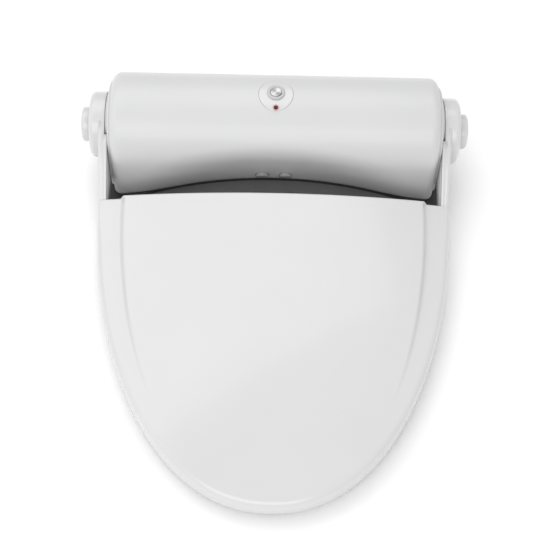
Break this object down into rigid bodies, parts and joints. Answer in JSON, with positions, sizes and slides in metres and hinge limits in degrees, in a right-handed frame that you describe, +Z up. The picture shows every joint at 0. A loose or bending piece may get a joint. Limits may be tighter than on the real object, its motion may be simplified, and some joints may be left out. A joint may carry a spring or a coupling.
{
  "type": "electric bidet seat",
  "caption": "Toilet seat with a rounded rear housing, heated ring, hinged lid, push button and two sliding spray wands.",
  "frame": {"origin": "middle of the footprint, on the plane of the bowl rim that the bumpers, feet and mounting plate rest on", "axes": "+Z up, -Y towards the user (the lid's tip), +Y towards the wall, X along the hinge axis"},
  "size_m": [0.42, 0.485, 0.121],
  "materials": {
    "housing_white": "glossy injection-moulded ABS",
    "lid_white": "glossy injection-moulded polypropylene",
    "seat_white": "glossy injection-moulded polypropylene",
    "tray_grey": "plain moulded plastic",
    "nylon_white": "moulded nylon",
    "acetal_white": "moulded acetal",
    "rubber_grey": "soft moulded rubber",
    "steel": "turned steel",
    "button_silver": "spun metallic finish",
    "lens_red": "tinted translucent plastic",
    "board_green": "circuit board laminate",
    "black_plastic": "black moulded plastic",
    "copper": "copper foil",
    "brass": "machined brass",
    "hose_clear": "soft silicone tube"
  },
  "bodies": {
    "housing": {"base_tray": "tray_grey", "housing_cover": "housing_white", "right_end_cover": "housing_white", "left_end_cover": "housing_white", "cover_screws": "steel", "housing_feet": "rubber_grey", "mounting_plate": "tray_grey", "bolt_bushings": "acetal_white", "latch_spring": "steel", "right_hinge_pin": "steel", "left_hinge_pin": "steel", "seat_damper": "black_plastic", "lid_damper": "black_plastic", "button_plate": "housing_white", "button_ring": "housing_white", "button_spring": "steel", "button_switch": "black_plastic", "indicator_lens": "lens_red", "indicator_led": "acetal_white", "control_board": "board_green", "board_chips": "black_plastic", "board_screws": "steel", "power_board": "board_green", "power_transformer": "black_plastic", "power_capacitors": "black_plastic", "power_relays": "black_plastic", "cord_grommet": "rubber_grey", "water_inlet": "brass", "inlet_strainer": "acetal_white", "inlet_valve": "nylon_white", "valve_coil": "black_plastic", "inlet_hose": "hose_clear", "heater_tank": "nylon_white", "heater_tank_lid": "nylon_white", "heating_element": "steel", "heater_hose": "hose_clear", "diverter_valve": "nylon_white", "diverter_motor": "steel", "nozzle_hoses": "hose_clear", "nozzle_guide": "nylon_white", "rear_nozzle_motor": "steel", "front_nozzle_motor": "steel"},
    "seat": {"seat_ring_top": "seat_white", "seat_ring_bottom": "seat_white", "seat_heater_foil": "copper", "seat_bumpers": "rubber_grey", "seat_screws": "steel", "seat_hinge_arms": "seat_white"},
    "lid": {"lid_shell": "lid_white", "lid_bumpers": "rubber_grey", "right_hinge_cap": "lid_white", "left_hinge_cap": "lid_white"},
    "button": {"push_button": "button_silver"},
    "latch": {"release_latch": "nylon_white"},
    "rear_wand": {"rear_nozzle_wand": "acetal_white", "rear_nozzle_shield": "tray_grey"},
    "front_wand": {"front_nozzle_wand": "acetal_white", "front_nozzle_shield": "tray_grey"},
    "rear_pinion": {"rear_nozzle_pinion": "acetal_white"},
    "front_pinion": {"front_nozzle_pinion": "acetal_white"}
  },
  "joints": [
    {"name": "seat_hinge", "type": "hinge", "parent": "housing", "child": "seat", "pos_m": [0, 0.1855, 0.062], "axis": [-1, 0, 0], "range_deg": [0, 95]},
    {"name": "lid_hinge", "type": "hinge", "parent": "seat", "child": "lid", "pos_m": [0, 0.1855, 0.062], "axis": [-1, 0, 0], "range_deg": [0, 100]},
    {"name": "button_press", "type": "slide", "parent": "housing", "child": "button", "axis": [0, 0, -1], "range_m": [0, 0.0012], "stiffness_N_per_m": 600, "springref_m": -0.001, "deforming": ["button_spring"]},
    {"name": "latch_release", "type": "slide", "parent": "housing", "child": "latch", "axis": [-1, 0, 0], "range_m": [0, 0.004], "stiffness_N_per_m": 300, "springref_m": -0.003, "deforming": ["latch_spring"]},
    {"name": "rear_wand_slide", "type": "slide", "parent": "housing", "child": "rear_wand", "axis": [0, -0.8829, -0.4695], "range_m": [0, 0.058], "deforming": ["nozzle_hoses"]},
    {"name": "front_wand_slide", "type": "slide", "parent": "housing", "child": "front_wand", "axis": [0, -0.8829, -0.4695], "range_m": [0, 0.058]},
    {"name": "rear_pinion_turn", "type": "hinge", "parent": "housing", "child": "rear_pinion", "pos_m": [-0.013, 0.17035, 0.04427], "axis": [-1, 0, 0], "range_deg": [0, 560]},
    {"name": "front_pinion_turn", "type": "hinge", "parent": "housing", "child": "front_pinion", "pos_m": [0.013, 0.17035, 0.04427], "axis": [-1, 0, 0], "range_deg": [0, 560]}
  ],
  "couplings": [
    {"joint": "rear_pinion_turn", "follows": "rear_wand_slide", "rad_per_m": 166.67},
    {"joint": "front_pinion_turn", "follows": "front_wand_slide", "rad_per_m": 166.67}
  ]
}
